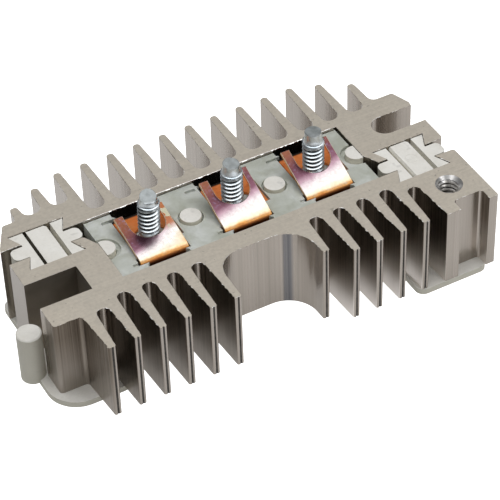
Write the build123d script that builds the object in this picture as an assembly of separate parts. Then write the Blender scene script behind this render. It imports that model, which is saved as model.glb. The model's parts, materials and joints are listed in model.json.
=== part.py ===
from build123d import *
from math import cos, radians, sin, tan
import os

# Alternator rectifier bridge: two extruded aluminium heat sinks, held apart and together by
# moulded dovetail keys at their ends, with three stator terminals in the slot between them.
# Each terminal has one diode on each sink, one copper lead from each diode and one stud.
# Millimetres. +X along the bridge, +Y from the insulated sink to the earthed one, +Z up.
# The sizes are laid out from the middle terminal, with the sinks' underside at z = 0, and
# every solid is moved at the end so that the origin is the middle of the resting face.

CUT_PAST = 1.0              # how far a cut runs past the face that it opens

# Both heat sinks
SINK_HEIGHT = 19.0
SINK_END_X = 48.9           # half the length of the sinks
SLOT_WIDTH = 19.2           # between the two inner faces
SLOT_LEFT_X = -30.3         # wall at the left end of the slot, on the front sink
SLOT_RIGHT_X = 30.85        # wall at the right end of the slot, on the rear sink
SLOT_CORNER = 3.6           # slope from an end wall to the lip beside its key

# Dovetail keys and their grooves, one at each end
KEY_X = 39.5
KEY_GAP = 4.3               # clear distance between the sinks at a key
GROOVE_DEPTH = 3.5
GROOVE_MOUTH = 9.4
GROOVE_FLOOR = 12.7
KEY_CLEARANCE = 0.08
KEY_SINK_BELOW_TOP = 0.25   # how far a key's top lies under the sinks' top
KEY_CORE = 6.0              # space for the wedge between the two halves
KEY_LOBE_REACH = 7.8
KEY_LOBE_THICK = 3.6
KEY_LOBE_ROUND = 1.3
WEDGE_NECK = 4.6            # width of the wedge where it shows
WEDGE_NECK_DEPTH = 6.0
WEDGE_LEAD_IN = 0.5

# Rear heat sink, earthed
REAR_FIN_COUNT = 14
REAR_FIN_PITCH = 6.31
REAR_TIP_Y = 26.65
REAR_TIP_Y_SECOND = 24.5
REAR_TIP_Y_OUTER = 21.0
REAR_ROOT_Y = 12.1
REAR_SHALLOW_ROOT_Y = 17.2
REAR_ROOT_WIDTH = 3.8
REAR_MOUTH_WIDTH = 4.65
REAR_ROOT_ROUND = 1.75
REAR_TIP_ROUND = 0.75
REAR_FLANK = 0.35            # how much wider the outermost fins are at their foot
REAR_SHALLOW_COUNT = 2
REAR_LEFT_SHOULDER = (-45.3, 16.95)
REAR_LEFT_CUT = (0.3, 1.1)   # slope at the left end's inner corner
REAR_LEFT_ROUND = 1.0
REAR_RIGHT_SHOULDER = (47.5, 13.5)
REAR_RIGHT_ROUND = 1.5
REAR_NOSE = (49.1, 8.9)
BOLT_SLOT_WIDTH = 5.8
BOLT_SLOT_Y = 4.8
BOLT_SLOT_END_X = 37.4

# Front heat sink, insulated
FRONT_FIN_PITCH = 5.62
FRONT_LEFT_FINS = 6
FRONT_RIGHT_FINS = 5
FRONT_LEFT_FIRST_X = -41.15
FRONT_RIGHT_FIRST_X = 9.0
FRONT_NOSE_Y = -26.75
FRONT_SHORT_NOSE_Y = -23.9
FRONT_ROOT_Y = -13.6
FRONT_OUTER_ROOT_Y = -15.85
FRONT_ROOT_WIDTH = 2.8
FRONT_MOUTH_WIDTH = 4.1
FRONT_ROOT_ROUND = 1.3
FRONT_NOSE_ROUND = 0.4
FRONT_FLANK = 0.75
NOSE_GROOVE_WIDTH = 0.45
NOSE_GROOVE_DEPTH = 0.22
CUTOUT_LEFT_X = -12.05
CUTOUT_RIGHT_X = 8.05
CUTOUT_TOP_Y = -14.35
CUTOUT_LEFT_RADIUS = 5.6
CUTOUT_RIGHT_RADIUS = 7.0
POCKET_WIDTH = 7.65         # square pocket in the left end
POCKET_DEPTH = 11.6
BLOCK_Y = -27.0
BLOCK_RECESS_LEFT_X = 39.6
BLOCK_RECESS_RIGHT_X = 46.65
BLOCK_RECESS_DEPTH = 3.1
BLOCK_RECESS_ROUND = 0.8
OUTPUT_HOLE = (41.75, -18.9)
OUTPUT_HOLE_RADIUS = 1.93
COUNTERSINK_RADIUS = 2.95
COUNTERSINK_DEPTH = 1.0
EDGE_ROUND = 0.8

# End insulators
FOOT_THICK = 1.45
LEFT_FOOT_PAST = (2.0, -4.5)    # past the sinks' end and past the slot's end wall
LEFT_FOOT_Y = (-20.3, 15.0)
LEFT_FOOT_STEP = 2.5        # the foot is this much shorter under the rear sink
LEFT_FOOT_ROUND = 7.0
RIGHT_FOOT_PAST = (-1.6, 0.8)   # past the sinks' end and past the slot's end wall
RIGHT_FOOT_Y = (-27.1, 1.4)
FOOT_ROUND = 2.0
POST_PAST = 2.25            # axis of the round post, past the sinks' end
POST_Y = -7.4
POST_RADIUS = 2.68
POST_TOP_Z = 11.6
POST_FOOT_CHAMFER = 0.8
POST_TOP_CHAMFER = 0.25

# Stations: the three terminals and the four posts between and beside them
STATION_COUNT = 3
STATION_PITCH = 19.6
STATION_OFFSET = (-0.125, 0.1)   # from the slot's middle
POST_INSET_LEFT = 0.5       # from an end wall of the slot to the axis of the post beside it
POST_INSET_RIGHT = 0.65
PIN_RADIUS = 2.3
PIN_TOP_BELOW = 0.05        # how far a post's top lies under the sinks' top
PIN_SHOULDER_WIDTH = 6.0    # square foot of a post, which carries the carrier

# Terminal carrier
CARRIER_TOP_BELOW = 0.6
CARRIER_THICK = 3.0
CARRIER_CLEARANCE = 0.1
CARRIER_END_GAP = 0.35
RAIL_WIDTH = 1.75           # the strip between a lead's opening and a sink
WINDOW_LEFT = 4.6           # notch in a rail, to the left and right of its station
WINDOW_RIGHT = 4.9
WINDOW_CORNER = 0.6
MARK_LENGTH = 2.4
MARK_WIDTH = 0.9
MARK_DEPTH = 0.6
MARK_GAP = 0.5
CARRIER_HOLE_GAP = 0.1
RING_WIDTH = 0.45           # counterbore round a post
END_RING_WIDTH = 1.1
RING_DEPTH = 0.8

# Base strip that closes the slot from below
STRIP_THICK = 1.5
STRIP_CLEARANCE = 0.2

# Diodes
DIODE_THICK = 1.8
DIODE_CUP_RADIUS = 4.0
DIODE_CUP_THICK = 0.9
DIODE_PAD_WIDTH = 5.2       # square contact on the cup
DIODE_Z = 8.0

# Copper leads
LEAD_THICK = 0.7
LEAD_WIDTH = 11.2
LEAD_END_Z = 4.0
LEAD_TIP_WIDTH = 6.6
LEAD_TAPER_BELOW = (4.4, 7.4)   # the leg narrows between these depths under the sinks' top
LEAD_SLOT_WIDTH = 7.8
LEAD_SLOT_OFFSET = 0.35
UPPER_LEAD_LENGTH = 11.4
UPPER_LEAD_RISE = (12.0, 22.0, 22.0)    # degrees, the first is pressed further down
UPPER_BEND_RADIUS = 1.6
UPPER_LEAD_SLOT_CENTRE = 7.9            # from the bend to the centre of the slot's round end
UPPER_LEAD_OFFSET = -0.3
UPPER_BEND_BELOW = 1.6      # centre of the bend, under the sinks' top
LOWER_LEAD_LENGTH = 10.0
LOWER_LEAD_SLOT_CENTRE = 7.9
LOWER_LEAD_OFFSET = (0.4, 1.3, 0.8)     # each one slid sideways before it was soldered
LOWER_BEND_RADIUS = 0.95
LOWER_LEAD_TOP_BELOW = 0.9
LEAD_OPENING_CLEARANCE = 0.25

# Studs
STUD_RADIUS = 2.4
STUD_SHANK_RADIUS = 2.15    # below the full thread
STUD_HEAD_WIDTH = 8.0
STUD_HEAD_THICK = 2.2
STUD_ABOVE = 10.1           # from the sinks' top to the stud's
STUD_THREAD_ABOVE = 1.7     # where the full thread starts
STUD_DOG_RADIUS = 1.8
STUD_DOG_LENGTH = 1.8
STUD_CONE_LENGTH = 0.6
STUD_HOLE_CLEARANCE = 0.08

# Worked out from the sizes above
SLOT_HALF = SLOT_WIDTH / 2
SLOT_MIDDLE_X = (SLOT_LEFT_X + SLOT_RIGHT_X) / 2
CARRIER_TOP_Z = SINK_HEIGHT - CARRIER_TOP_BELOW
CARRIER_BOTTOM_Z = CARRIER_TOP_Z - CARRIER_THICK
KEY_TOP_Z = SINK_HEIGHT - KEY_SINK_BELOW_TOP
POST_AT = (-SINK_END_X - POST_PAST, POST_Y)
LEG_FACE = SLOT_HALF - DIODE_THICK
KEY_LIP = KEY_GAP / 2
LEFT_KEY = (-KEY_X, SLOT_HALF - KEY_LIP)
RIGHT_KEY = (KEY_X, KEY_LIP - SLOT_HALF)
UPPER_BEND_Z = SINK_HEIGHT - UPPER_BEND_BELOW
LOWER_LEAD_TOP_Z = SINK_HEIGHT - LOWER_LEAD_TOP_BELOW
STUD_TOP_Z = SINK_HEIGHT + STUD_ABOVE
STATION_X = SLOT_MIDDLE_X + STATION_OFFSET[0]
STATION_Y = STATION_OFFSET[1]
STATIONS = [
    STATION_X + (i - (STATION_COUNT - 1) / 2) * STATION_PITCH for i in range(STATION_COUNT)
]
FIRST_POST_X = SLOT_LEFT_X + POST_INSET_LEFT
POST_PITCH = (SLOT_RIGHT_X - POST_INSET_RIGHT - FIRST_POST_X) / STATION_COUNT
POSTS = [FIRST_POST_X + i * POST_PITCH for i in range(STATION_COUNT + 1)]
REAR_FINS = [(i - (REAR_FIN_COUNT - 1) / 2) * REAR_FIN_PITCH for i in range(REAR_FIN_COUNT)]
LEFT_FINS = [FRONT_LEFT_FIRST_X + i * FRONT_FIN_PITCH for i in range(FRONT_LEFT_FINS)]
RIGHT_FINS = [FRONT_RIGHT_FIRST_X + i * FRONT_FIN_PITCH for i in range(FRONT_RIGHT_FINS)]
REAR_FIN_HALF = (REAR_FIN_PITCH - REAR_MOUTH_WIDTH) / 2
FRONT_NOSE_HALF = (FRONT_FIN_PITCH - FRONT_MOUTH_WIDTH) / 2


def area(*corners):
    """A flat face through corners (x, y), or (x, y, r) where the corner is rounded."""
    places = [Vector(corner[0], corner[1]) for corner in corners]
    rounds = []
    for i, corner in enumerate(corners):
        here = places[i]
        if len(corner) == 2:
            rounds.append((here, None, here))
            continue
        back = (places[i - 1] - here).normalized()
        ahead = (places[(i + 1) % len(corners)] - here).normalized()
        inward = (back + ahead).normalized()
        half = radians(back.get_angle(ahead) / 2)
        middle = here + inward * (corner[2] / sin(half) - corner[2])
        cut = corner[2] / tan(half)
        rounds.append((here + back * cut, middle, here + ahead * cut))
    edges = []
    for i, (start, middle, end) in enumerate(rounds):
        if middle is not None:
            edges.append(Edge.make_three_point_arc(start, middle, end))
        following = rounds[(i + 1) % len(rounds)][0]
        if (following - end).length > 1e-5:
            edges.append(Edge.make_line(end, following))
    face = make_face(edges).face()
    return face if face.normal_at().Z > 0 else -face


def box(x, y, z):
    """A block between two limits on each axis."""
    sizes = [max(v) - min(v) for v in (x, y, z)]
    return Pos(min(x), min(y), min(z)) * Box(*sizes, align=Align.MIN)


def groove(key, side, step):
    """Corners of the dovetail groove on one side of a key, in the direction of step along X."""
    lip = key[1] + side * KEY_LIP
    floor = lip + side * GROOVE_DEPTH
    mouth, bottom = step * GROOVE_MOUTH / 2, step * GROOVE_FLOOR / 2
    return [
        (key[0] - mouth, lip),
        (key[0] - bottom, floor),
        (key[0] + bottom, floor),
        (key[0] + mouth, lip),
    ]


def rear_gap(x, root_y, left_tip, right_tip):
    """Corners of the space between two rear fins, from right to left."""
    mouth, root = REAR_MOUTH_WIDTH / 2, REAR_ROOT_WIDTH / 2
    return [
        (x + mouth, right_tip, REAR_TIP_ROUND),
        (x + root, root_y, REAR_ROOT_ROUND),
        (x - root, root_y, REAR_ROOT_ROUND),
        (x - mouth, left_tip, REAR_TIP_ROUND),
    ]


def rear_profile():
    """Outline of the earthed heat sink's extrusion."""
    outer = REAR_FINS[-1]
    flank = REAR_FIN_HALF + REAR_FLANK
    lip_y = RIGHT_KEY[1] + KEY_LIP
    arm_top = BOLT_SLOT_Y - BOLT_SLOT_WIDTH / 2
    slot_top = arm_top + BOLT_SLOT_WIDTH
    slot_round = BOLT_SLOT_WIDTH / 2 - 0.01
    tips = [REAR_TIP_Y] * REAR_FIN_COUNT
    tips[0] = tips[-1] = REAR_TIP_Y_OUTER
    tips[1] = tips[-2] = REAR_TIP_Y_SECOND
    corners = [(-SINK_END_X, SLOT_HALF)]
    corners += groove(LEFT_KEY, 1, 1)
    corners += [
        (SLOT_RIGHT_X, SLOT_HALF),
        (SLOT_RIGHT_X, lip_y + SLOT_CORNER),
        (SLOT_RIGHT_X + SLOT_CORNER / 2, lip_y),
    ]
    corners += groove(RIGHT_KEY, 1, 1)
    corners += [
        (SINK_END_X, lip_y, EDGE_ROUND),
        (SINK_END_X, arm_top),
        (BOLT_SLOT_END_X, arm_top, slot_round),
        (BOLT_SLOT_END_X, slot_top, slot_round),
        (SINK_END_X, slot_top),
        (*REAR_NOSE, EDGE_ROUND / 2),
        (*REAR_RIGHT_SHOULDER, EDGE_ROUND),
        (outer + flank, REAR_RIGHT_SHOULDER[1], REAR_RIGHT_ROUND),
        (outer + REAR_FIN_HALF, REAR_TIP_Y_OUTER, REAR_TIP_ROUND),
    ]
    for i in reversed(range(REAR_FIN_COUNT - 1)):
        root_y = REAR_SHALLOW_ROOT_Y if i < REAR_SHALLOW_COUNT else REAR_ROOT_Y
        middle = REAR_FINS[i] + REAR_FIN_PITCH / 2
        corners += rear_gap(middle, root_y, tips[i], tips[i + 1])
    corners += [
        (-outer - REAR_FIN_HALF, REAR_TIP_Y_OUTER, REAR_TIP_ROUND),
        (-outer - flank, REAR_LEFT_SHOULDER[1], REAR_LEFT_ROUND),
        (*REAR_LEFT_SHOULDER, EDGE_ROUND),
        (REAR_LEFT_CUT[0] - SINK_END_X, SLOT_HALF + REAR_LEFT_CUT[1]),
    ]
    return area(*corners)


def nose(x, tip_y):
    """Corners of a front fin's grooved nose, from left to right."""
    half, groove_half = FRONT_NOSE_HALF, NOSE_GROOVE_WIDTH / 2
    return [
        (x - half, tip_y, FRONT_NOSE_ROUND),
        (x - groove_half, tip_y),
        (x, tip_y + NOSE_GROOVE_DEPTH),
        (x + groove_half, tip_y),
        (x + half, tip_y, FRONT_NOSE_ROUND),
    ]


def front_gap(x, root_y):
    """Corners of the root between two front fins, from left to right."""
    half = FRONT_ROOT_WIDTH / 2
    return [(x - half, root_y, FRONT_ROOT_ROUND), (x + half, root_y, FRONT_ROOT_ROUND)]


def front_profile():
    """Outline of the insulated heat sink's extrusion."""
    lip_y = LEFT_KEY[1] - KEY_LIP
    pocket_top = -SLOT_HALF + POCKET_WIDTH
    half_pitch = FRONT_FIN_PITCH / 2
    first, last = LEFT_FINS[0], RIGHT_FINS[-1]
    corners = [
        (-SINK_END_X, FRONT_OUTER_ROOT_Y, EDGE_ROUND),
        (first - FRONT_NOSE_HALF - FRONT_FLANK, FRONT_OUTER_ROOT_Y, EDGE_ROUND),
    ]
    for i, x in enumerate(LEFT_FINS):
        corners += nose(x, FRONT_NOSE_Y)
        if x != LEFT_FINS[-1]:
            corners += front_gap(x + half_pitch, FRONT_OUTER_ROOT_Y if i == 0 else FRONT_ROOT_Y)
    corners += [
        (CUTOUT_LEFT_X, CUTOUT_TOP_Y, CUTOUT_LEFT_RADIUS),
        (CUTOUT_RIGHT_X, CUTOUT_TOP_Y, CUTOUT_RIGHT_RADIUS),
    ]
    for i, x in enumerate(RIGHT_FINS):
        corners += nose(x, FRONT_SHORT_NOSE_Y if i == 0 else FRONT_NOSE_Y)
        corners += front_gap(x + half_pitch, FRONT_OUTER_ROOT_Y if x == last else FRONT_ROOT_Y)
    corners += [
        (last + FRONT_NOSE_HALF + FRONT_MOUTH_WIDTH, BLOCK_Y, FRONT_NOSE_ROUND),
        (BLOCK_RECESS_LEFT_X, BLOCK_Y),
        (BLOCK_RECESS_LEFT_X, BLOCK_Y + BLOCK_RECESS_DEPTH, BLOCK_RECESS_ROUND),
        (BLOCK_RECESS_RIGHT_X, BLOCK_Y + BLOCK_RECESS_DEPTH, BLOCK_RECESS_ROUND),
        (BLOCK_RECESS_RIGHT_X, BLOCK_Y),
        (SINK_END_X, BLOCK_Y, FRONT_NOSE_ROUND),
        (SINK_END_X, -SLOT_HALF, EDGE_ROUND),
    ]
    corners += groove(RIGHT_KEY, -1, -1)
    corners += [
        (SLOT_LEFT_X, -SLOT_HALF),
        (SLOT_LEFT_X, lip_y - SLOT_CORNER, 2 * EDGE_ROUND),
        (SLOT_LEFT_X - SLOT_CORNER / 2, lip_y, EDGE_ROUND),
    ]
    corners += groove(LEFT_KEY, -1, -1)
    corners += [
        (-SINK_END_X, lip_y),
        (-SINK_END_X, pocket_top),
        (POCKET_DEPTH - SINK_END_X, pocket_top),
        (POCKET_DEPTH - SINK_END_X, -SLOT_HALF),
        (-SINK_END_X, -SLOT_HALF),
    ]
    return area(*corners)


def rear_heat_sink():
    return extrude(rear_profile(), SINK_HEIGHT)


def front_heat_sink():
    body = extrude(front_profile(), SINK_HEIGHT)
    hole = Pos(*OUTPUT_HOLE, SINK_HEIGHT / 2) * Cylinder(
        OUTPUT_HOLE_RADIUS, SINK_HEIGHT + 2 * CUT_PAST)
    countersink = Pos(*OUTPUT_HOLE, SINK_HEIGHT - COUNTERSINK_DEPTH / 2) * Cone(
        OUTPUT_HOLE_RADIUS, COUNTERSINK_RADIUS, COUNTERSINK_DEPTH)
    return body - hole - countersink


def key_half(key, side):
    """One half of a key: flared hooks into both sinks and a lobe in the gap between them."""
    gap = KEY_CLEARANCE
    core = KEY_CORE / 2
    waist_y = KEY_LIP - gap
    floor_y = KEY_LIP + GROOVE_DEPTH - gap
    mouth = GROOVE_MOUTH / 2 - gap
    hook = area(
        (side * core, -floor_y), (side * (GROOVE_FLOOR / 2 - 2 * gap), -floor_y),
        (side * mouth, -waist_y), (side * mouth, waist_y),
        (side * (GROOVE_FLOOR / 2 - 2 * gap), floor_y), (side * core, floor_y),
    )
    reach = KEY_LOBE_REACH - core
    lobe = Pos(side * (core + reach / 2), 0) * RectangleRounded(
        reach, KEY_LOBE_THICK, KEY_LOBE_ROUND)
    return Pos(*key) * (hook + lobe)


def key_solid(key):
    halves = key_half(key, -1) + key_half(key, 1)
    return extrude(halves, KEY_TOP_Z)


def wedge(key):
    """Block driven between a key's halves, narrower where it shows between them."""
    long_half = KEY_LIP + GROOVE_DEPTH - KEY_CLEARANCE
    neck = WEDGE_NECK / 2
    shoulder_z = KEY_TOP_Z - WEDGE_NECK_DEPTH
    plan = area(
        (-neck, -long_half), (neck, -long_half), (neck, long_half - WEDGE_LEAD_IN),
        (neck - WEDGE_LEAD_IN, long_half), (-neck, long_half),
    )
    half = KEY_CORE / 2
    root = box((-half, half), (-long_half, long_half), (0, shoulder_z))
    return Pos(*key, 0) * (root + Pos(0, 0, shoulder_z) * extrude(plan, WEDGE_NECK_DEPTH))


def left_end_insulator():
    x0, x1 = -SINK_END_X - LEFT_FOOT_PAST[0], SLOT_LEFT_X + LEFT_FOOT_PAST[1]
    y0, y1 = LEFT_FOOT_Y
    step_y = POST_AT[1] + POST_RADIUS
    plan = area(
        (x0, y0, LEFT_FOOT_ROUND), (x1, y0, FOOT_ROUND), (x1, y1, FOOT_ROUND),
        (x0 + LEFT_FOOT_STEP, y1, FOOT_ROUND), (x0 + LEFT_FOOT_STEP, step_y), (x0, step_y),
    )
    foot = Pos(0, 0, -FOOT_THICK) * extrude(plan, FOOT_THICK)
    post = Pos(*POST_AT, -FOOT_THICK) * Cylinder(
        POST_RADIUS, POST_TOP_Z + FOOT_THICK, align=(Align.CENTER, Align.CENTER, Align.MIN))
    rims = post.edges().filter_by(GeomType.CIRCLE).sort_by(Axis.Z)
    post = chamfer(rims[0], POST_FOOT_CHAMFER)
    post = chamfer(post.edges().filter_by(GeomType.CIRCLE).sort_by(Axis.Z)[-1], POST_TOP_CHAMFER)
    return foot + post + key_solid(LEFT_KEY)


def right_end_insulator():
    x0, x1 = SLOT_RIGHT_X - RIGHT_FOOT_PAST[1], SINK_END_X + RIGHT_FOOT_PAST[0]
    y0, y1 = RIGHT_FOOT_Y
    plan = area(*[(x, y, FOOT_ROUND) for x, y in ((x0, y0), (x1, y0), (x1, y1), (x0, y1))])
    foot = Pos(0, 0, -FOOT_THICK) * extrude(plan, FOOT_THICK)
    return foot + key_solid(RIGHT_KEY)


def post_plan(x, plan, clearance):
    """The plan of a post at x, cut flat where a sink's end wall stands in its way."""
    limit = area(
        (SLOT_LEFT_X + clearance, -SLOT_HALF), (SLOT_RIGHT_X - clearance, -SLOT_HALF),
        (SLOT_RIGHT_X - clearance, SLOT_HALF), (SLOT_LEFT_X + clearance, SLOT_HALF),
    )
    return (Pos(x, STATION_Y) * plan) & limit


def base_strip():
    """Floor of the slot, with the posts that carry and locate the terminal carrier."""
    gap = STRIP_CLEARANCE
    strip = box(
        (SLOT_LEFT_X + gap, SLOT_RIGHT_X - gap), (gap - SLOT_HALF, SLOT_HALF - gap),
        (0, STRIP_THICK))
    shoulder = Rectangle(PIN_SHOULDER_WIDTH, PIN_SHOULDER_WIDTH)
    for x in POSTS:
        strip += extrude(post_plan(x, shoulder, gap), CARRIER_BOTTOM_Z)
        strip += extrude(
            post_plan(x, Circle(PIN_RADIUS), KEY_CLEARANCE), SINK_HEIGHT - PIN_TOP_BELOW)
    return strip


def lead_centre(index, side):
    """Middle of a lead: the upper one comes from the front sink, the lower from the rear one."""
    return STATIONS[index] + (UPPER_LEAD_OFFSET if side < 0 else LOWER_LEAD_OFFSET[index])


def terminal_carrier():
    """Nylon plate that fills the top of the slot, with openings for the leads and studs."""
    x0, x1 = SLOT_LEFT_X + CARRIER_CLEARANCE, SLOT_RIGHT_X - CARRIER_END_GAP
    y1 = SLOT_HALF - CARRIER_CLEARANCE
    plate = box((x0, x1), (-y1, y1), (CARRIER_BOTTOM_Z, CARRIER_TOP_Z))
    above = CARRIER_TOP_Z + CUT_PAST
    through = (CARRIER_BOTTOM_Z - CUT_PAST, above)
    rail = SLOT_HALF - RAIL_WIDTH
    inner = LEG_FACE - UPPER_BEND_RADIUS - 2 * LEAD_OPENING_CLEARANCE
    reach = LEAD_WIDTH / 2 + LEAD_OPENING_CLEARANCE
    notches = []
    for index, station in enumerate(STATIONS):
        for side in (-1, 1):
            middle = lead_centre(index, side)
            notch = box(
                (station - WINDOW_LEFT, station + WINDOW_RIGHT),
                (side * rail, side * (SLOT_HALF + CUT_PAST)), through)
            corners = notch.edges().filter_by(Axis.Z)
            notches.append(chamfer(corners.sort_by(Axis.Y)[:: side][:2], WINDOW_CORNER))
            plate -= box((middle - reach, middle + reach), (side * inner, side * rail), through)
        middle = lead_centre(index, 1)
        pocket_end = LEG_FACE - LOWER_BEND_RADIUS - LOWER_LEAD_LENGTH - LEAD_OPENING_CLEARANCE
        plate -= box(
            (middle - reach, middle + reach), (pocket_end, rail),
            (LOWER_LEAD_TOP_Z - LEAD_THICK, above))
        plate -= Pos(station, STATION_Y, through[0]) * extrude(
            Circle(STUD_RADIUS + STUD_HOLE_CLEARANCE), above - through[0])
        for side in (-1, 1):
            mark_y = (side * rail, side * (rail - MARK_WIDTH))
            mark_x = station - WINDOW_LEFT - MARK_GAP
            plate -= box(
                (mark_x - MARK_LENGTH, mark_x), mark_y,
                (CARRIER_TOP_Z - MARK_DEPTH, above))
    for notch in notches:
        plate -= notch
    for i, x in enumerate(POSTS):
        hole = Pos(x, STATION_Y) * Circle(PIN_RADIUS + CARRIER_HOLE_GAP)
        plate -= Pos(0, 0, through[0]) * extrude(hole, above - through[0])
        at_end = i in (0, STATION_COUNT)
        ring = Pos(x, STATION_Y) * Circle(PIN_RADIUS + (END_RING_WIDTH if at_end else RING_WIDTH))
        plate -= Pos(0, 0, CARRIER_TOP_Z - RING_DEPTH) * extrude(ring, RING_DEPTH + CUT_PAST)
    return plate


def lead(length, rise, radius, bend_z, slot_centre):
    """A copper strip: a leg down to the diode, a bend, and a plate with an open slot.

    Its leg's outer face is on y = 0 and its plate runs to +Y.
    """
    half, slot, tip = LEAD_WIDTH / 2, LEAD_SLOT_WIDTH / 2, LEAD_TIP_WIDTH / 2
    left, right = LEAD_SLOT_OFFSET - slot, LEAD_SLOT_OFFSET + slot
    taper_z, tip_z = [SINK_HEIGHT - below for below in LEAD_TAPER_BELOW]
    leg = area(
        (-half, bend_z), (-half, taper_z), (-tip, tip_z), (-tip, LEAD_END_Z),
        (tip, LEAD_END_Z), (tip, tip_z), (half, taper_z), (half, bend_z),
    )
    leg = extrude(Plane.XZ * leg, -LEAD_THICK)
    ring = Rot(0, 90, 0) * (
        Cylinder(radius, LEAD_WIDTH) - Cylinder(radius - LEAD_THICK, LEAD_WIDTH + CUT_PAST))
    reach = 3 * radius
    turned = (-reach * sin(radians(rise)), reach * cos(radians(rise)))
    sector = Plane.YZ * area((0, 0), (-reach, 0), (-reach, reach), turned)
    bend = Pos(0, radius, bend_z) * (ring & extrude(sector, half + CUT_PAST, both=True))
    slot_end = slot_centre - slot
    plate = area(
        (-half, 0), (half, 0), (half, length), (right, length),
        (right, slot_end, slot - 0.01), (left, slot_end, slot - 0.01),
        (left, length), (-half, length),
    )
    plate = Pos(0, radius, bend_z) * Rot(rise, 0, 0) * Pos(0, 0, radius) * extrude(
        plate, -LEAD_THICK)
    return leg + bend + plate


def upper_lead(index):
    shape = lead(
        UPPER_LEAD_LENGTH, UPPER_LEAD_RISE[index], UPPER_BEND_RADIUS, UPPER_BEND_Z,
        UPPER_LEAD_SLOT_CENTRE)
    return Pos(lead_centre(index, -1), -LEG_FACE, 0) * shape


def lower_lead(index):
    bend_z = LOWER_LEAD_TOP_Z - LOWER_BEND_RADIUS
    shape = Rot(0, 0, 180) * lead(
        LOWER_LEAD_LENGTH, 0, LOWER_BEND_RADIUS, bend_z, LOWER_LEAD_SLOT_CENTRE)
    return Pos(lead_centre(index, 1), LEG_FACE, 0) * shape


def stud(index):
    """Plated stud: square head, shank, thread at its outer diameter, cone and dog point."""
    head_z = CARRIER_BOTTOM_Z - STUD_HEAD_THICK
    thread_z = SINK_HEIGHT + STUD_THREAD_ABOVE
    dog_z = STUD_TOP_Z - STUD_DOG_LENGTH
    outline = area(
        (0, head_z), (STUD_SHANK_RADIUS, head_z), (STUD_SHANK_RADIUS, thread_z),
        (STUD_RADIUS, thread_z), (STUD_RADIUS, dog_z - STUD_CONE_LENGTH),
        (STUD_DOG_RADIUS, dog_z), (STUD_DOG_RADIUS, STUD_TOP_Z), (0, STUD_TOP_Z),
    )
    shank = revolve(Plane.XZ * outline, Axis.Z)
    half = STUD_HEAD_WIDTH / 2
    head = box((-half, half), (-half, half), (head_z, CARRIER_BOTTOM_Z))
    return Pos(STATIONS[index], STATION_Y, 0) * (shank + head)


def diode(index, side):
    """Pressed cup soldered to a sink, with the square contact pad that meets the lead."""
    cup = extrude(Circle(DIODE_CUP_RADIUS), DIODE_CUP_THICK)
    pad = extrude(Rectangle(DIODE_PAD_WIDTH, DIODE_PAD_WIDTH), DIODE_THICK)
    turned = Rot(side * 90, 0, 0) * (cup + pad)
    return Pos(lead_centre(index, side), side * SLOT_HALF, DIODE_Z) * turned


def build():
    nodes = {
        "rear_heat_sink": rear_heat_sink(),
        "front_heat_sink": front_heat_sink(),
        "left_end_insulator": left_end_insulator(),
        "right_end_insulator": right_end_insulator(),
        "left_key_wedge": wedge(LEFT_KEY),
        "right_key_wedge": wedge(RIGHT_KEY),
        "base_strip": base_strip(),
        "terminal_carrier": terminal_carrier(),
    }
    for i in range(STATION_COUNT):
        nodes[f"terminal_stud_{i + 1}"] = stud(i)
        nodes[f"positive_lead_{i + 1}"] = upper_lead(i)
        nodes[f"negative_lead_{i + 1}"] = lower_lead(i)
        nodes[f"positive_diode_{i + 1}"] = diode(i, -1)
        nodes[f"negative_diode_{i + 1}"] = diode(i, 1)
    return nodes


NODES = build()
LIMITS = Compound(list(NODES.values())).bounding_box()
MIDDLE = LIMITS.center()
TO_ORIGIN = Pos(-MIDDLE.X, -MIDDLE.Y, -LIMITS.min.Z)

os.makedirs("parts", exist_ok=True)
for name, solid in NODES.items():
    export_step(TO_ORIGIN * solid, f"parts/{name}.step")
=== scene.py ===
"""Alternator rectifier: the dressed model, its light and its camera."""
import json
import math
import random

import bmesh
import bpy
from mathutils import Matrix, Vector, noise


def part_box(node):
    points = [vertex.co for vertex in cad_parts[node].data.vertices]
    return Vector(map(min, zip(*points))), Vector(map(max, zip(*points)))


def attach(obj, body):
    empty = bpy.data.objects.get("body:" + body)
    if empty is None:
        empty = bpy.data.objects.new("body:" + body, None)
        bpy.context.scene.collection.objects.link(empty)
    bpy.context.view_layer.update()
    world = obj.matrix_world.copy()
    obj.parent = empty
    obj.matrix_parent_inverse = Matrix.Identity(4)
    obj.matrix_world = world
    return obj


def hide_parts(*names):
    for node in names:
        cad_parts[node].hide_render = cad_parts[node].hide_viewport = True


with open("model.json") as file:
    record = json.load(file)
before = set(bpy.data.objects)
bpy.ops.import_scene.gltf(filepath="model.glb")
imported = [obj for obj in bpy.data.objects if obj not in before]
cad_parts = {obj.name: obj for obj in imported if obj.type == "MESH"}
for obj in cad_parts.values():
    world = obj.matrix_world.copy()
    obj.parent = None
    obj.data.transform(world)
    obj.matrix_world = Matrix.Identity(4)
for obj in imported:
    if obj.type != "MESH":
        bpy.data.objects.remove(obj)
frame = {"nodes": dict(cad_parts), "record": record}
NODES = frame["nodes"]
SLOTS = {part["node"]: part["material_slot"] for part in frame["record"]["subparts"]}
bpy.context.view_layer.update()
TERMINALS = (1, 2, 3)

# Sizes are in metres, in the nodes' own frame. TOP is the height of the heat sinks' sawn tops.
MM = 0.001
SINK_LOW, SINK_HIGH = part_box("front_heat_sink")
TOP = SINK_HIGH.z
AT_TOP = TOP - 0.01 * MM
UNDER_TOP = TOP - 0.005 * MM

# Editing: corners nearer than MERGE are joined, and angles are in degrees
MERGE = 0.002 * MM
RING_MERGE = 0.0002 * MM
FLAT_ANGLE = 0.5
RIM_ANGLE = 60
EDGE_ANGLE = 35
SHADING_ANGLE = 24
FACE_WEIGHT = 90

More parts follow.
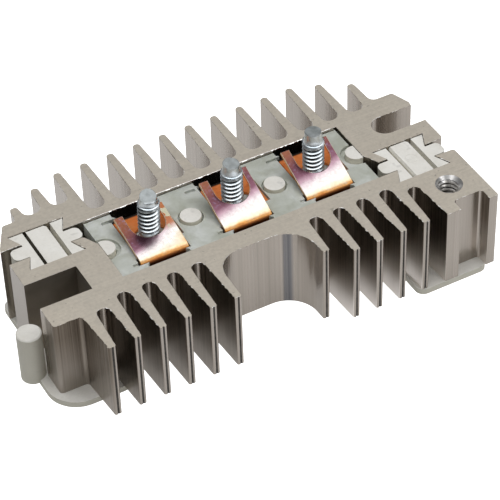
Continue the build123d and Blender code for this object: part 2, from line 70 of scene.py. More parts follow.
# Width of the rounding on each kind of edge
SINK_EDGE = 0.06 * MM
NYLON_EDGE = 0.09 * MM
COPPER_EDGE = 0.12 * MM
HEAD_EDGE = 0.3 * MM

# Burr left by the saw round the heat sinks' tops, and the rear sink's bright inner edge
BURR_STEP = 0.2 * MM
BURR_REACH = 0.24 * MM
SINK_JITTER = 0.045 * MM
BRIGHT_EDGE = 0.16 * MM
BRIGHT_EDGE_REACH = 0.2 * MM
BRIGHT_EDGE_DEPTH = 0.3 * MM
INNER_EDGE_Y = 9.825 * MM
SLOT_MIDDLE_X = 2.5 * MM
SLOT_HALF = 29.5 * MM

# Front heat sink: square notch, fins with a groove down each nose, and left block
POCKET_MIDDLE = (SINK_LOW.x + 5.8 * MM, -5.55 * MM)
POCKET_HALF = (5.85 * MM, 3.9 * MM)
FIN_PITCH = 5.62 * MM
FIN_ROWS = ((-38.78 * MM, 6), (11.37 * MM, 5))
FIN_MIDDLES = [start + FIN_PITCH * i for start, count in FIN_ROWS for i in range(count)]
NOSE_GROOVE_HALF = 0.26 * MM
NOSE_BACK_Y = SINK_LOW.y + 3.6 * MM
FIRST_GAP_X = FIN_MIDDLES[0] - 0.5 * MM
BLOCK_FRONT_Y = -12.0 * MM

# Tapped hole of the front heat sink
HOLE_RADIUS = 1.93 * MM
HOLE_THREAD_DEPTH = 0.42 * MM
HOLE_THREAD_LENGTH = 9.0 * MM
CUTTER_RADIUS = HOLE_RADIUS - 0.02 * MM
CUTTER_PAST_TOP = 1.1 * MM
CUTTER_END = 0.1 * MM
COUNTERSINK_RADIUS = 2.98 * MM
COUNTERSINK_DEPTH = 1.05 * MM
COUNTERSINK_FOOT = HOLE_RADIUS + 0.3 * MM

# Studs
THREAD_PITCH = 1.058 * MM
THREAD_RADIUS = 2.4 * MM
THREAD_DEPTH = 0.6 * MM
CREST_RADIUS = THREAD_RADIUS - 0.04 * MM
SHANK_RADIUS = 2.15 * MM
HEAD_THICK = 2.2 * MM
SHANK_GAP = 0.02 * MM
THREAD_FROM = TOP + 0.2 * MM
CONE_FROM = TOP + 7.55 * MM
CONE_RADIUS = THREAD_RADIUS - 0.2 * MM
CONE_CURVE = 0.6
CONE_GAP = 0.05 * MM
CONE_WOBBLE = 0.06 * MM
CONE_RINGS = 6
DOG_FROM = TOP + 8.5 * MM
DOG_RADIUS = 1.8 * MM
DOG_ROOT_RADIUS = DOG_RADIUS + 0.06 * MM
DOG_TAPER = 0.1 * MM
DOG_EDGE = 0.10 * MM
DOG_EDGE_HEIGHT = 0.12 * MM
DOG_WOBBLE = 0.07 * MM
DOG_RINGS = 8
STUD_SEGMENTS = 64

# One turn of thread along the axis: where it is in the turn, and how high it stands
THREAD_FORM = [
    (0.07, 0.0), (0.16, 0.08), (0.40, 0.90), (0.45, 1.0), (0.55, 1.0), (0.60, 0.90), (0.84, 0.08),
    (0.93, 0.0),
]

# Each stud's cut end: how steep it is, which way it drops in radians, how rough it is in
# millimetres, and how much the stud leans to the right
STUD_ENDS = {
    1: {"slope": 0.34, "way": 4.4, "rough": 0.16, "lean": 0.03},
    2: {"slope": 0.16, "way": 5.2, "rough": 0.03, "lean": 0.0},
    3: {"slope": -0.06, "way": 0.6, "rough": 0.03, "lean": 0.0},
}

# Slits beside the key wedges: where they are, and how far from there their walls are looked for.
# Then the mark of the mould's gate on the right wedge.
KEY_SLITS = [
    corner.x for wedge in ("left_key_wedge", "right_key_wedge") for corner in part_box(wedge)]
SLIT_SLOPE = 0.26 * MM
SLIT_RIM = 0.02 * MM
SLIT_BEVEL = 0.2 * MM
SLIT_LEFT = 0.12 * MM
SLIT_RIGHT = 1.1 * MM
SLIT_REACH = 0.9 * MM
GATE_RADIUS = 1.3 * MM
GATE_WIRE = 0.05 * MM

# How far across each upper lead the heat tint is even, and how fast it deepens to the left
LEAD_COOL_AT = {1: 0.55, 2: 0.5, 3: 0.5}
LEAD_LEAN = {1: 0.50, 2: 0.22, 3: 0.20}

# Where the aluminium's walls change in tone: the start and the end of a rise or of a fall
# A band of the cut-out's wall with a painted reflection of the right fins
BAND_X = ((5.85 * MM, 6.35 * MM), (7.55 * MM, 8.05 * MM))
BAND_Y = ((-17 * MM, -16 * MM), (-14 * MM, -13 * MM))
CUT_OUT_X = ((-9 * MM, -8 * MM), (11.6 * MM, 12 * MM))
FRONT_SINK_Y = (0.0, 1 * MM)
LEFT_END_X = (SINK_LOW.x + 0.2 * MM, SINK_LOW.x + 0.5 * MM)
# The left block's front, which gets the painted shade too
LEFT_BLOCK_X = (FIRST_GAP_X, FIRST_GAP_X + 1 * MM)
LEFT_BLOCK_Y = (BLOCK_FRONT_Y, BLOCK_FRONT_Y + 1 * MM)
# Heights over which the painted shade on the front sink's left-facing walls grows, faint at the
# foot, full near the top
SHADE_Z = (SINK_LOW.z, TOP - 4 * MM)
# Where the lower part of the right fins' left-facing walls gets painted floor light
PALE_X = (8 * MM, 14 * MM)
PALE_Z = (SINK_LOW.z + 5 * MM, TOP - 6 * MM)

# Where other looks change, in the same way
# Heights over which the notch's walls darken towards the top, a painted shade
WORKED_UPPER_Z = (TOP - 14 * MM, TOP - 2 * MM)
GROOVE_OUT = (THREAD_RADIUS - 0.50 * MM, THREAD_RADIUS - 0.24 * MM)
GROOVES_END_Z = (CONE_FROM - 0.3 * MM, CONE_FROM)
STUD_CUT_Z = (DOG_FROM, DOG_FROM + 0.4 * MM)
LEG_Z = (TOP - 1.7 * MM, TOP - 0.7 * MM)
# Where the lower leads turn near-black, a painted shade
LOWER_SHADE_Y = (6.6 * MM, 7.0 * MM)

# Linear colours. A pair is the two ends of a mix.
SAWN = ((0.56, 0.505, 0.425), (0.61, 0.565, 0.49))
# Near-white burr on the tops' rounded edges, partly a painted highlight
BURR_HIGHLIGHT = (0.95, 0.94, 0.92)
WALL = ((0.385, 0.347, 0.308), (0.435, 0.393, 0.352))
# Painted reflection of the right fins, dark blue
REFLECTED_FIN_BAND = ((0.115, 0.12, 0.135), (0.20, 0.20, 0.21))
# Painted shade: streaked dark brown for the front sink's left-facing walls and the left block's
# front
SHADE_TONES = ((0.135, 0.110, 0.084), (0.255, 0.216, 0.178))
# Painted light from the floor, near white
FLOOR_LIGHT_TONE = (0.98, 0.92, 0.87)
ZINC = ((0.66, 0.72, 0.76), (0.82, 0.88, 0.92))
ZINC_CUT = ((0.26, 0.28, 0.28), (0.46, 0.49, 0.50))
# Painted shade in the studs' thread grooves
STUD_GROOVE_SHADE = (0.03, 0.035, 0.04)
COPPER_SIDE = (0.72, 0.34, 0.13)
# Painted highlight on the leads' rounded rims
RIM_HIGHLIGHT = (0.90, 0.76, 0.56)
# Painted shade on the leads' legs
LEG_SHADE = (0.30, 0.08, 0.03)
COPPER_SPECK = (0.17, 0.13, 0.20)
COPPER_ARM = (0.27, 0.10, 0.04)
COPPER_CRUST = (0.60, 0.58, 0.44)
# Painted shade on the lower leads, near black
LOWER_LEAD_SHADE = (0.012, 0.010, 0.008)
TIN = ((0.40, 0.38, 0.36), (0.58, 0.56, 0.54))
PAPER = (0.62, 0.62, 0.62)
WHITE = (1, 1, 1)

# Heat tints of the upper leads, by how hot the place was: 0 at the bend, 1 at the arms' tips. The
# pale stops just behind the bend are partly a painted glare.
TINTS_AND_GLARE = [
    (0.00, (0.62, 0.20, 0.05)), (0.035, (0.80, 0.40, 0.13)), (0.08, (0.68, 0.58, 0.42)),
    (0.17, (0.62, 0.59, 0.55)), (0.31, (0.50, 0.44, 0.45)), (0.41, (0.32, 0.21, 0.25)),
    (0.51, (0.145, 0.066, 0.092)), (0.70, (0.105, 0.042, 0.052)), (1.00, (0.17, 0.066, 0.040)),
]
ORANGE_COPPER = [
    (0.30, (0.66, 0.17, 0.04)), (0.52, (0.92, 0.27, 0.07)), (0.72, (0.96, 0.38, 0.14))]
MILKY_GREEN = [
    (0.34, (0.42, 0.435, 0.375)), (0.50, (0.49, 0.51, 0.46)), (0.68, (0.61, 0.63, 0.60))]

# Floor, lights and camera
FLOOR_SIZE = 6.0
FLOOR_GLOW_X = (-0.075, -0.035)
FLOOR_GLOW = (0.12, 0.36)
WORLD_STRENGTH = 0.12
SENSOR_WIDTH = 36.0
LENS = 160.72
SHIFT = (0.0028, 0.0001)
CLIP_START = 0.05
EYE_PLACE = (-0.1573855, -0.314858, 0.328193)
EYE_RIGHT = Vector((0.87594754, -0.48163919, -0.02719559))
EYE_ABOVE = Vector((0.34245525, 0.58113157, 0.73824827))
EYE_BEHIND = Vector((-0.33976508, -0.65598002, 0.67398064))


class Graph:
    """Node tree builder for one material."""

    def __init__(self, name):
        self.mat = bpy.data.materials.new(name)
        self.mat.use_nodes = True
        self.tree = self.mat.node_tree
        self.bsdf = next(n for n in self.tree.nodes if n.type == "BSDF_PRINCIPLED")

    def add(self, kind, **values):
        node = self.tree.nodes.new(kind)
        for key, value in values.items():
            setattr(node, key, value)
        return node

    def link(self, source, target):
        self.tree.links.new(source, target)

    def put(self, target, value):
        """Link a socket, or set a plain value."""
        if isinstance(value, bpy.types.NodeSocket):
            self.link(value, target)
        else:
            target.default_value = value

    def set(self, **values):
        """Give the shader's own inputs their sockets or plain values."""
        for key, value in values.items():
            self.put(self.bsdf.inputs[key.replace("_", " ")], value)

    def coords(self):
        return self.add("ShaderNodeTexCoord").outputs["Object"]

    def scaled(self, vector, scale, turn=(0, 0, 0)):
        node = self.add("ShaderNodeMapping")
        self.link(vector, node.inputs["Vector"])
        node.inputs["Scale"].default_value = scale
        node.inputs["Rotation"].default_value = turn
        return node.outputs["Vector"]

    def noise(self, vector, scale, detail, roughness=0.55, distortion=0.0):
        node = self.add("ShaderNodeTexNoise")
        self.link(vector, node.inputs["Vector"])
        node.inputs["Scale"].default_value = scale
        node.inputs["Detail"].default_value = detail
        node.inputs["Roughness"].default_value = roughness
        node.inputs["Distortion"].default_value = distortion
        return node.outputs["Fac"]

    def ramp(self, fac, stops):
        """Colour or value ramp: stops are (position, colour or grey)."""
        node = self.add("ShaderNodeValToRGB")
        self.link(fac, node.inputs["Fac"])
        ramp = node.color_ramp
        while len(ramp.elements) < len(stops):
            ramp.elements.new(1.0)
        for element, (place, tone) in zip(ramp.elements, stops):
            colour = (tone, tone, tone) if isinstance(tone, (int, float)) else tone
            element.position = place
            element.color = (*colour, 1)
        return node.outputs["Color"]

    def math(self, operation, a, b=0.0):
        node = self.add("ShaderNodeMath", operation=operation)
        self.put(node.inputs[0], a)
        self.put(node.inputs[1], b)
        return node.outputs[0]

    def plus(self, a, b):
        return self.math("ADD", a, b)

    def product(self, *factors):
        """Masks or values multiplied."""
        result = factors[0]
        for factor in factors[1:]:
            result = self.math("MULTIPLY", result, factor)
        return result

    def span(self, value, low, high, to_low=0.0, to_high=1.0):
        """A value's place from low to high, held at the ends."""
        node = self.add("ShaderNodeMapRange", clamp=True)
        self.put(node.inputs["Value"], value)
        node.inputs["From Min"].default_value = low
        node.inputs["From Max"].default_value = high
        node.inputs["To Min"].default_value = to_low
        node.inputs["To Max"].default_value = to_high
        return node.outputs["Result"]

    def fall(self, value, low, high):
        """1 up to low, 0 from high on."""
        return self.span(value, low, high, 1.0, 0.0)

    def between(self, value, rise, fall):
        """1 from the end of the rise to the start of the fall, 0 outside both."""
        return self.product(self.span(value, *rise), self.fall(value, *fall))

    def mix(self, fac, a, b, blend="MIX"):
        node = self.add("ShaderNodeMix", data_type="RGBA", blend_type=blend)
        self.put(node.inputs["Factor"], fac)
        colour_inputs = [s for s in node.inputs if s.type == "RGBA"]
        for target, value in zip(colour_inputs, (a, b)):
            self.put(target, value if isinstance(value, bpy.types.NodeSocket) else (*value, 1))
        return [s for s in node.outputs if s.type == "RGBA"][0]

    def times(self, colour, factor):
        return self.mix(1.0, colour, factor, "MULTIPLY")

    def parts(self, vector):
        node = self.add("ShaderNodeSeparateXYZ")
        self.link(vector, node.inputs[0])
        return node.outputs

    def facing(self):
        """How far the surface faces right, back and up, each from -1 to 1."""
        return self.parts(self.add("ShaderNodeNewGeometry").outputs["Normal"])

    def up(self):
        """How far the surface faces up, from -1 to 1."""
        return self.facing()[2]

    def upright(self, low, high):
        """1 on walls, 0 on level faces."""
        return self.fall(self.math("ABSOLUTE", self.up()), low, high)

    def bump(self, height, strength, distance):
        node = self.add("ShaderNodeBump")
        node.inputs["Strength"].default_value = strength
        node.inputs["Distance"].default_value = distance
        self.link(height, node.inputs["Height"])
        self.set(Normal=node.outputs["Normal"])


def sawn_end(g, at, up):
    """The sawn ends' colour and relief: clouds, saw marks, grain, nicks and a burr painted near
    white, a painted highlight.
    """
    cloud = g.noise(at, 60.0, 3.0)
    grain = g.noise(at, 1500.0, 3.0)
    brushed = g.noise(g.scaled(at, (60, 2600, 60), (0, 0, 0.7)), 1.0, 3.0)
    nick = g.noise(at, 1100.0, 1.0)
    tone = g.mix(cloud, *SAWN)
    tone = g.times(tone, g.ramp(brushed, [(0.3, 0.95), (0.7, 1.03)]))
    tone = g.times(tone, g.ramp(grain, [(0.33, 0.93), (0.65, 1.04)]))
    tone = g.times(tone, g.ramp(nick, [(0.74, 1.0), (0.78, 0.70)]))
    # The burr is real, but its near-white on the edges' bevels is a painted highlight
    edge = g.between(up, (0.5, 0.6), (0.9, 0.97))
    burr = g.product(edge, g.span(g.noise(at, 900.0, 2.0), 0.51, 0.57))
    return g.mix(burr, tone, BURR_HIGHLIGHT), g.mix(0.4, grain, brushed)


def left_walls(g, x, y):
    """1 on the walls of the front sink that look left, apart from its left end and its cut-out."""
    left = g.fall(g.facing()[0], -0.9, -0.6)
    beside_cut_out = g.math("SUBTRACT", 1.0, g.between(x, *CUT_OUT_X))
    return g.product(left, g.fall(y, *FRONT_SINK_Y), g.span(x, *LEFT_END_X), beside_cut_out)


def aluminium():
    """Extruded aluminium: matte sawn ends and glossy walls with the die's streaks, and painted
    light on some walls: shade, a reflected band and pale floor light.
    """
    g = Graph("aluminium")
    at = g.coords()
    x, y, z = g.parts(at)
    up = g.up()
    top = g.span(up, 0.35, 0.6)
    sawn, sawn_relief = sawn_end(g, at, up)
    fine = g.noise(g.scaled(at, (2300, 2300, 3)), 1.0, 2.0)
    broad = g.noise(g.scaled(at, (420, 420, 4)), 1.0, 3.0)
    streak = g.span(fine, 0.35, 0.65)
    wall = g.mix(g.span(broad, 0.3, 0.7), *WALL)
    wall = g.times(wall, g.ramp(fine, [(0.3, 0.90), (0.7, 1.05)]))
    # Painted reflection: a dark blue streaked band on the cut-out's wall where it would mirror the
    # right fins
    band = g.product(g.between(x, *BAND_X), g.between(y, *BAND_Y), 0.85)
    wall = g.mix(band, wall, g.mix(streak, *REFLECTED_FIN_BAND))
    leftward = left_walls(g, x, y)
    # Painted light: low on the right fins' left-facing walls the tone goes near white, as if lit
    # from the floor
    pale = g.product(leftward, g.span(x, *PALE_X), g.fall(z, *PALE_Z))
    wall = g.mix(pale, wall, FLOOR_LIGHT_TONE)
    # Painted shade on the front sink's left-facing walls and the left block's front, strongest
    # near the top; it also makes them rougher
    block = g.product(g.fall(x, *LEFT_BLOCK_X), g.fall(y, *LEFT_BLOCK_Y))
    shaded_walls = g.math("MAXIMUM", leftward, block)
    shade_amount = g.product(shaded_walls, g.span(z, *SHADE_Z, 0.08, 1.0))
    wall = g.mix(shade_amount, wall, g.mix(streak, *SHADE_TONES))
    dull = g.plus(g.span(broad, 0.3, 0.7, 0.20, 0.30), g.product(shaded_walls, 0.12))
    g.set(Base_Color=g.mix(top, wall, sawn), Metallic=g.span(top, 0, 1, 1.0, 0.55),
          Roughness=g.plus(g.product(top, 0.27), dull))
    g.bump(g.mix(top, g.mix(0.5, fine, broad), sawn_relief), 0.18, 0.0001)
    return g.mat


def worked(name, light, dark, roughness, metallic, grain, upper=1.0):
    """A cut surface, or a dull or dark one that carries painted shade. Its tone is multiplied by
    upper near the top, a painted shade.
    """
    g = Graph(name)
    at = g.coords()
    cloud = g.noise(at, grain, 3.0)
    body = g.mix(g.span(cloud, 0.35, 0.65), dark, light)
    height = g.span(g.parts(at)[2], *WORKED_UPPER_Z)
    body = g.times(body, g.ramp(height, [(0.0, 1.0), (1.0, upper)]))
    g.set(Base_Color=body, Roughness=roughness, Metallic=metallic)
    g.bump(cloud, 0.1, 0.0001)
    return g.mat


def nylon(name, light, dark, walls):
    """Moulded nylon: soft clouds of tone, a fine grain and a little grime, and its walls' tone,
    which is painted light and shade.
    """
    g = Graph(name)
    at = g.coords()
    cloud = g.noise(at, 180.0, 3.0)
    speck = g.noise(at, 1800.0, 2.0)
    grime = g.noise(at, 420.0, 1.0)
    body = g.mix(g.span(cloud, 0.35, 0.65), dark, light)
    body = g.times(body, g.ramp(speck, [(0.3, 0.95), (0.6, 1.0)]))
    body = g.times(body, g.ramp(grime, [(0.68, 1.0), (0.74, 0.86)]))
    # Painted light and shade: upright faces take the walls' tone instead of the tops'
    body = g.mix(g.product(g.upright(0.3, 0.7), 0.75), body, walls)
    g.set(Base_Color=body, Roughness=0.5)
    g.bump(speck, 0.15, 0.00005)
    return g.mat


def carrier_nylon():
    """Translucent greenish nylon: milky patches and darker ones."""
    g = Graph("carrier nylon")
    at = g.coords()
    cloud = g.noise(at, 190.0, 3.0, 0.6, 0.6)
    speck = g.noise(at, 1600.0, 2.0)
    body = g.times(g.ramp(cloud, MILKY_GREEN), g.ramp(speck, [(0.3, 0.95), (0.6, 1.0)]))
    g.set(Base_Color=body, Roughness=0.32, Subsurface_Weight=0.3, Subsurface_Scale=0.001,
          Subsurface_Radius=(1.0, 1.0, 0.8))
    g.bump(cloud, 0.2, 0.0003)
    return g.mat


def zinc(name, centre=None):
    """Bright zinc plating. Round a stud's centre, painted shade darkens the thread's grooves, and
    the cut end is dull.
    """
    g = Graph(name)
    at = g.coords()
    cloud = g.noise(at, 700.0, 3.0)
    body = g.ramp(cloud, list(zip((0.3, 0.65), ZINC)))
    rough = g.span(cloud, 0.3, 0.7, 0.24, 0.34)
    if centre is not None:
        x, y, z = g.parts(at)
        out_x = g.math("SUBTRACT", x, centre[0])
        out_y = g.math("SUBTRACT", y, centre[1])
        out = g.math("SQRT", g.plus(g.product(out_x, out_x), g.product(out_y, out_y)))
        # Painted shade in the thread's grooves, below the cone
        groove = g.product(g.fall(out, *GROOVE_OUT), g.fall(z, *GROOVES_END_Z))
        body = g.mix(g.product(groove, 0.92), body, STUD_GROOVE_SHADE)
        cut = g.product(g.span(g.up(), 0.55, 0.75), g.span(z, *STUD_CUT_Z))
        body = g.mix(cut, body, g.ramp(cloud, list(zip((0.3, 0.7), ZINC_CUT))))
        rough = g.plus(rough, g.product(cut, 0.3))
    g.set(Base_Color=body, Roughness=rough, Metallic=1.0)
    g.bump(cloud, 0.1, 0.0001)
    return g.mat


def tinted_copper(index):
    """Copper lead with the tints of its soldering heat, straw at the bend, purple at the arms, and
    painted light and shade: glare behind the bend, highlight on the rims, shade on the leg.
    """
    g = Graph(f"tinted copper {index}")
    low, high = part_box(f"positive_lead_{index}")
    at = g.coords()
    x, y, z = g.parts(at)
    across = g.span(x, low.x, high.x)
    along = g.span(y, low.y, high.y)
    blotch = g.noise(at, 300.0, 4.0, 0.6, 0.5)
    fine = g.noise(at, 1500.0, 3.0)
    tint = g.plus(along, g.product(g.math("SUBTRACT", blotch, 0.5), 0.14))
    to_left = g.math("SUBTRACT", LEAD_COOL_AT[index], across)
    tint = g.plus(tint, g.product(to_left, LEAD_LEAN[index], g.span(along, 0.05, 0.3)))
    rough = g.span(tint, 0.05, 0.2, 0.42, 0.22)
    # The tint ramp's pale band behind the bend is partly a painted glare
    body = g.times(g.ramp(tint, TINTS_AND_GLARE), g.ramp(fine, [(0.3, 0.86), (0.7, 1.08)]))
    speck = g.span(g.noise(at, 1500.0, 2.0), 0.55, 0.68, 0.0, 0.45)
    body = g.mix(g.product(speck, g.span(tint, 0.5, 0.6)), body, COPPER_SPECK)
    if index == 1:
        arm = g.product(g.span(across, 0.70, 0.78), g.span(along, 0.42, 0.55))
        crust = g.product(g.span(g.noise(at, 620.0, 2.0), 0.51, 0.56), arm)
        body = g.mix(g.product(arm, 0.9), body, COPPER_ARM)
        body = g.mix(crust, body, COPPER_CRUST)
        rough = g.plus(rough, g.product(crust, 0.4))
    body = g.mix(g.upright(0.3, 0.6), body, COPPER_SIDE)
    # Painted highlight: pale and less metallic on the rounded rims behind the bend
    rim = g.product(g.between(g.up(), (0.4, 0.5), (0.82, 0.9)), g.span(along, 0.12, 0.2))
    body = g.mix(rim, body, RIM_HIGHLIGHT)
    # Painted shade: dark below the plate, where the leg goes down into the notch
    body = g.mix(g.fall(z, *LEG_Z), body, LEG_SHADE)
    g.set(Base_Color=body, Roughness=rough, Metallic=g.span(rim, 0, 1, 1.0, 0.35))
    g.bump(fine, 0.15, 0.00005)
    return g.mat


def bare_copper():
    """The lower leads: orange copper, browner in patches, and near-black towards their back as
    painted shade.
    """
    g = Graph("orange copper")
    at = g.coords()
    blotch = g.noise(at, 380.0, 4.0, 0.6, 0.4)
    # Painted shade: near-black from a line across the lower leads to their back
    shaded_part = g.span(g.parts(at)[1], *LOWER_SHADE_Y)
    g.set(Base_Color=g.mix(shaded_part, g.ramp(blotch, ORANGE_COPPER), LOWER_LEAD_SHADE),
          Roughness=g.span(blotch, 0.3, 0.7, 0.42, 0.30), Metallic=0.6)
    g.bump(blotch, 0.2, 0.0001)
    return g.mat


def tinned():
    """Dull tinned steel of the diodes."""
    g = Graph("tinned steel")
    blotch = g.noise(g.coords(), 900.0, 3.0)
    g.set(Base_Color=g.ramp(blotch, list(zip((0.3, 0.7), TIN))), Roughness=0.42, Metallic=1.0)
    return g.mat


def paper():
    """White paper floor, less lit on the left. It shows brighter than it lights the part."""
    g = Graph("paper")
    seen = g.add("ShaderNodeLightPath").outputs["Is Camera Ray"]
    glow = g.span(g.parts(g.coords())[0], *FLOOR_GLOW_X, *FLOOR_GLOW)
    g.set(Base_Color=(*PAPER, 1), Roughness=0.9, Emission_Color=(*WHITE, 1),
          Emission_Strength=g.plus(glow, seen))
    return g.mat


ALUMINIUM = aluminium()
CUT_METAL = worked("fresh cut aluminium", (0.86, 0.85, 0.84), (0.76, 0.75, 0.74), 0.32, 1.0, 400.0)
# Painted shade: the notch's walls duller and browner than the others, and darker towards the top
POCKET_METAL = worked(
    "dull aluminium with painted shade", (0.44, 0.38, 0.31), (0.33, 0.28, 0.215), 0.5, 0.35, 130.0, upper=0.42)
# Painted shade: near black for the roots of the tapped hole's thread and the grooves down the
# fins' noses
GROOVE_SHADE_METAL = worked("grime", (0.10, 0.09, 0.08), (0.04, 0.036, 0.03), 0.6, 0.0, 900.0)
THREAD_METAL = worked("tapped thread", (0.66, 0.64, 0.61), (0.58, 0.56, 0.53), 0.36, 1.0, 300.0)
# Painted shade: near-black for the left wedge's wall in its slit
SLIT_SHADE_NYLON = worked("slit nylon with painted shade", (0.16, 0.145, 0.115), (0.09, 0.08, 0.06), 0.6, 0.0, 500.0)
# The walls' tone is painted shade on the white nylon and painted light on the discs' sides
WHITE_NYLON = nylon("white nylon", (0.84, 0.825, 0.78), (0.76, 0.74, 0.685), (0.50, 0.48, 0.39))
DISC_NYLON = nylon("disc nylon", (0.80, 0.785, 0.74), (0.72, 0.70, 0.65), (0.86, 0.82, 0.68))
# Painted light: bright nylon for the left-facing slit walls of the insulators and the right wedge
LIT_SLIT_NYLON = nylon("slit nylon with painted light", (0.92, 0.90, 0.84), (0.88, 0.86, 0.80), (0.97, 0.94, 0.84))
LOOKS = {
    "earthed_aluminium": ALUMINIUM,
    "insulated_aluminium": ALUMINIUM,
    "white_nylon": WHITE_NYLON,
    "pale_green_nylon": carrier_nylon(),
    "plated_stud_steel": zinc("zinc plating"),
    "oxidised_copper": bare_copper(),
    "tinned_diode_steel": tinned(),
}

# A heat sink's finishes, in the order of its material slots. Two of them carry painted shade: the
# grooves' and the notch's.
EXTRUDED, FRESH_CUT, DULL_SHADED, SHADED_GROOVE_FINISH, TAPPED = range(5)
SINK_FINISHES = (CUT_METAL, POCKET_METAL, GROOVE_SHADE_METAL, THREAD_METAL)


def edit_mesh(node, whole=True):
    """A node's mesh, ready for editing: shared corners joined and, if asked, flat faces whole."""
    form = bmesh.new()
    form.from_mesh(NODES[node].data)
    bmesh.ops.remove_doubles(form, verts=form.verts, dist=MERGE)
    if whole:
        bmesh.ops.dissolve_limit(
            form, angle_limit=math.radians(FLAT_ANGLE), verts=form.verts, edges=form.edges)
    return form


def sharp_edges(form, degrees, keep=lambda edge: True):
    """Edges between faces that meet at more than this angle."""
    return [
        edge for edge in form.edges
        if len(edge.link_faces) == 2 and edge.calc_face_angle(0) > math.radians(degrees)
        and keep(edge)
    ]


def bevel(form, edges, width, segments):
    bmesh.ops.bevel(
        form, geom=edges, offset=width, offset_type="OFFSET", segments=segments, profile=0.5,
        affect="EDGES", clamp_overlap=True)


def faces_left(vert, limit):
    """Whether a face at this corner looks left, by more than the limit."""
    return any(face.normal.x < limit for face in vert.link_faces)


def as_object(form, name):
    """An edited mesh as an object of its own."""
    mesh = bpy.data.meshes.new(name)
    form.to_mesh(mesh)
    form.free()
    made = bpy.data.objects.new(name, mesh)
    bpy.context.collection.objects.link(made)
    return made


def stand_for(form, node, look=None):
    """Turn an edited mesh, kept inside the node's own box, into the piece shown for the node."""
    low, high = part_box(node)
    for vert in form.verts:
        vert.co = Vector([min(max(v, a), b) for v, a, b in zip(vert.co, low, high)])
    piece = as_object(form, node + "_finished")
    mesh = piece.data
    mesh.polygons.foreach_set("use_smooth", [True] * len(mesh.polygons))
    mesh.set_sharp_from_angle(angle=math.radians(SHADING_ANGLE))
    mesh.materials.append(look or LOOKS[SLOTS[node]])
    shading = piece.modifiers.new("flat faces lead", "WEIGHTED_NORMAL")
    shading.mode = "FACE_AREA"
    shading.weight = FACE_WEIGHT
    shading.keep_sharp = True
    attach(piece, "root")
    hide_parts(node)
    return piece


def at_top(edge):
    return all(v.co.z > AT_TOP for v in edge.verts)


def in_pocket(point):
    """Whether a point of the front sink is in its square notch."""
    return abs(point.x - POCKET_MIDDLE[0]) < POCKET_HALF[0] and (
        abs(point.y - POCKET_MIDDLE[1]) < POCKET_HALF[1])


def on_bright_edge(point):
    """Whether a point of the rear sink is on its top edge along the carrier's slot."""
    beside_slot = abs(point.x - SLOT_MIDDLE_X) < SLOT_HALF
    near_edge = abs(point.y - INNER_EDGE_Y) < 1.5 * SINK_EDGE
    return beside_slot and near_edge and point.z > TOP - SINK_EDGE / 2


def roughen_rim(form, node):
    """Shift the corners round a sink's top as the saw left them."""
    draw = random.Random(node)
    for vert in form.verts:
        if vert.co.z <= TOP - 2 * SINK_EDGE or in_pocket(vert.co):
            continue
        push = Vector((draw.uniform(-1, 1), draw.uniform(-1, 1), draw.uniform(-1.2, 0.2)))
        if vert.co.z < AT_TOP:
            vert.co += push * SINK_JITTER * draw.random()
        if node == "front_heat_sink" and vert.co.z < UNDER_TOP and faces_left(vert, -0.6):
            ragged = noise.noise(vert.co / MM * 1.9) + 0.6 * noise.noise(vert.co / MM * 3.3)
            vert.co.x -= BURR_REACH * max(0.0, ragged)
        if node == "rear_heat_sink" and on_bright_edge(vert.co):
            vert.co.y += draw.uniform(0.6, 1.0) * BRIGHT_EDGE


def sawn_sink(node, cutter=None):
    """A heat sink with the fine burr that the saw left round its top."""
    form = edit_mesh(node)
    if cutter is not None:
        form = bored(form, cutter)
    for edge in sharp_edges(form, RIM_ANGLE, at_top):
        cuts = int(edge.calc_length() / BURR_STEP)
        if cuts > 0:
            bmesh.ops.subdivide_edges(form, edges=[edge], cuts=cuts)
    bevel(form, sharp_edges(form, RIM_ANGLE, at_top), SINK_EDGE, 1)
    roughen_rim(form, node)
    piece = stand_for(form, node)
    for look in SINK_FINISHES:
        piece.data.materials.append(look)
    hole = output_hole()
    for face in piece.data.polygons:
        if node == "rear_heat_sink":
            face.material_index = rear_finish(face)
        else:
            face.material_index = front_finish(face, hole)


def rear_finish(face):
    """The rear sink's finish at a face: its edge along the slot is freshly cut."""
    near_edge = abs(face.center.y - INNER_EDGE_Y) < BRIGHT_EDGE_REACH
    on_edge = near_edge and face.center.z > TOP - BRIGHT_EDGE_DEPTH
    return FRESH_CUT if on_edge and 0.3 < face.normal.z < 0.97 else EXTRUDED


def front_finish(face, hole):
    """The front sink's finish at a face, by where the face is and which way it looks."""
    x, y, z = face.center
    out = math.hypot(x - hole[0], y - hole[1])
    if out < COUNTERSINK_RADIUS and face.normal.z < 0.99:
        if z > TOP - COUNTERSINK_DEPTH and face.normal.z > 0.4:
            return FRESH_CUT
        # Painted shade at the roots of the hole's thread
        return SHADED_GROOVE_FINISH if out > COUNTERSINK_FOOT else TAPPED
    # Painted shade on the notch's walls
    if abs(face.normal.z) < 0.5 and in_pocket(face.center):
        return DULL_SHADED
    # Painted shade down the groove of each fin's nose
    in_groove = any(abs(x - middle) < NOSE_GROOVE_HALF for middle in FIN_MIDDLES)
    if y < NOSE_BACK_Y and abs(face.normal.z) < 0.1 and in_groove:
        return SHADED_GROOVE_FINISH
    return EXTRUDED


def bored(form, cutter):
    """The form with the cutter's solid taken out of it."""
    blank = as_object(form, "blank")
    cut = blank.modifiers.new("cut", "BOOLEAN")
    cut.operation = "DIFFERENCE"
    cut.solver = "EXACT"
    cut.object = cutter
    bpy.context.view_layer.update()
    shaped = blank.evaluated_get(bpy.context.evaluated_depsgraph_get())
    result = bmesh.new()
    result.from_mesh(shaped.data)
    bpy.data.objects.remove(blank)
    bpy.data.objects.remove(cutter)
    return result


